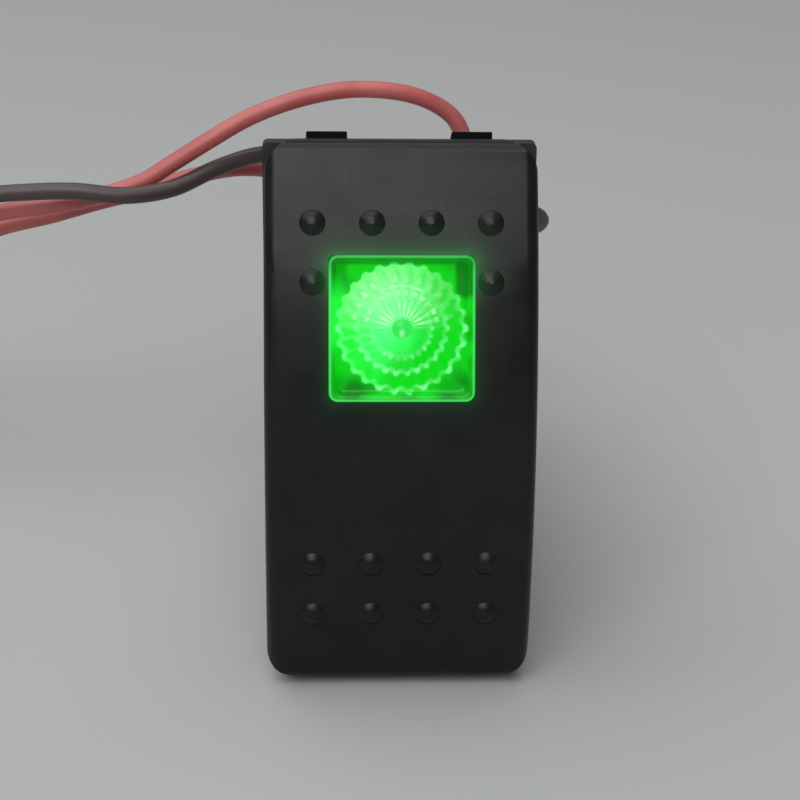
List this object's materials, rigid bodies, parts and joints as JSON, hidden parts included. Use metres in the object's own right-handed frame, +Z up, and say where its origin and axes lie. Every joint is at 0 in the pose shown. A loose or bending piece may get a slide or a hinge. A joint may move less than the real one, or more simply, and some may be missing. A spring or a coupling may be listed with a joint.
{
  "type": "panel rocker switch",
  "caption": "Lit panel rocker switch with an arched rocker, green jewel lens, snap-in collar, sprung contact mechanism and crimped flying leads.",
  "frame": {"origin": "centre of the gasket's seat on the panel", "axes": "+X to the right seen from the user's side, +Z up along the long axis towards the lens, +Y into the panel"},
  "size_m": [0.1088, 0.0924, 0.0498],
  "materials": {
    "black_nylon": "moulded, fine satin",
    "gasket_rubber": "matt",
    "black_base": "moulded, glass filled",
    "rocker_plastic": "moulded, fine spark texture",
    "green_lens": "clear green, lit from behind",
    "pin_steel": "ground",
    "plunger_plastic": "natural acetal",
    "spring_steel": "drawn wire",
    "copper_strip": "rolled copper",
    "contact_silver": "silver alloy",
    "terminal_brass": "stamped sheet",
    "board_green": "solder mask",
    "lamp_green": "tinted epoxy, lit",
    "resistor_body": "lacquered",
    "tinned_wire": "tinned copper",
    "connector_brass": "rolled sheet",
    "boot_vinyl": "soft vinyl",
    "red_insulation": "extruded vinyl",
    "black_insulation": "extruded vinyl"
  },
  "bodies": {
    "housing": {"bezel_frame": "black_nylon", "panel_gasket": "gasket_rubber", "contact_base": "black_base", "pivot_pin": "pin_steel", "fixed_contact": "contact_silver", "line_terminal": "terminal_brass", "load_terminal": "terminal_brass", "ground_terminal": "terminal_brass", "lamp_board": "board_green", "green_led": "lamp_green", "lamp_resistor": "resistor_body", "lamp_feed_wire": "tinned_wire", "line_connector": "connector_brass", "load_connector": "connector_brass", "ground_connector": "connector_brass", "line_boot": "boot_vinyl", "load_boot": "boot_vinyl", "ground_boot": "boot_vinyl", "red_line_lead": "red_insulation", "red_load_lead": "red_insulation", "black_ground_lead": "black_insulation"},
    "rocker": {"rocker": "rocker_plastic", "lens": "green_lens", "plunger_spring": "spring_steel"},
    "plunger": {"plunger": "plunger_plastic"},
    "contact_arm": {"contact_arm": "copper_strip", "moving_contact": "contact_silver"}
  },
  "joints": [
    {"name": "rocker_tilt", "type": "hinge", "parent": "housing", "child": "rocker", "pos_m": [0, -0.0047, 0], "axis": [1, 0, 0], "range_deg": [0, 18]},
    {"name": "contact_tilt", "type": "hinge", "parent": "housing", "child": "contact_arm", "pos_m": [0, 0.00775, 0], "axis": [1, 0, 0], "range_deg": [-13, 0]},
    {"name": "plunger_slide", "type": "slide", "parent": "rocker", "child": "plunger", "axis": [0, -0.9877, 0.1564], "range_m": [0, 0.0008], "stiffness_N_per_m": 800, "deforming": ["plunger_spring"]}
  ],
  "couplings": [
    {"joint": "contact_tilt", "follows": "rocker_tilt", "ratio": -0.72222}
  ]
}
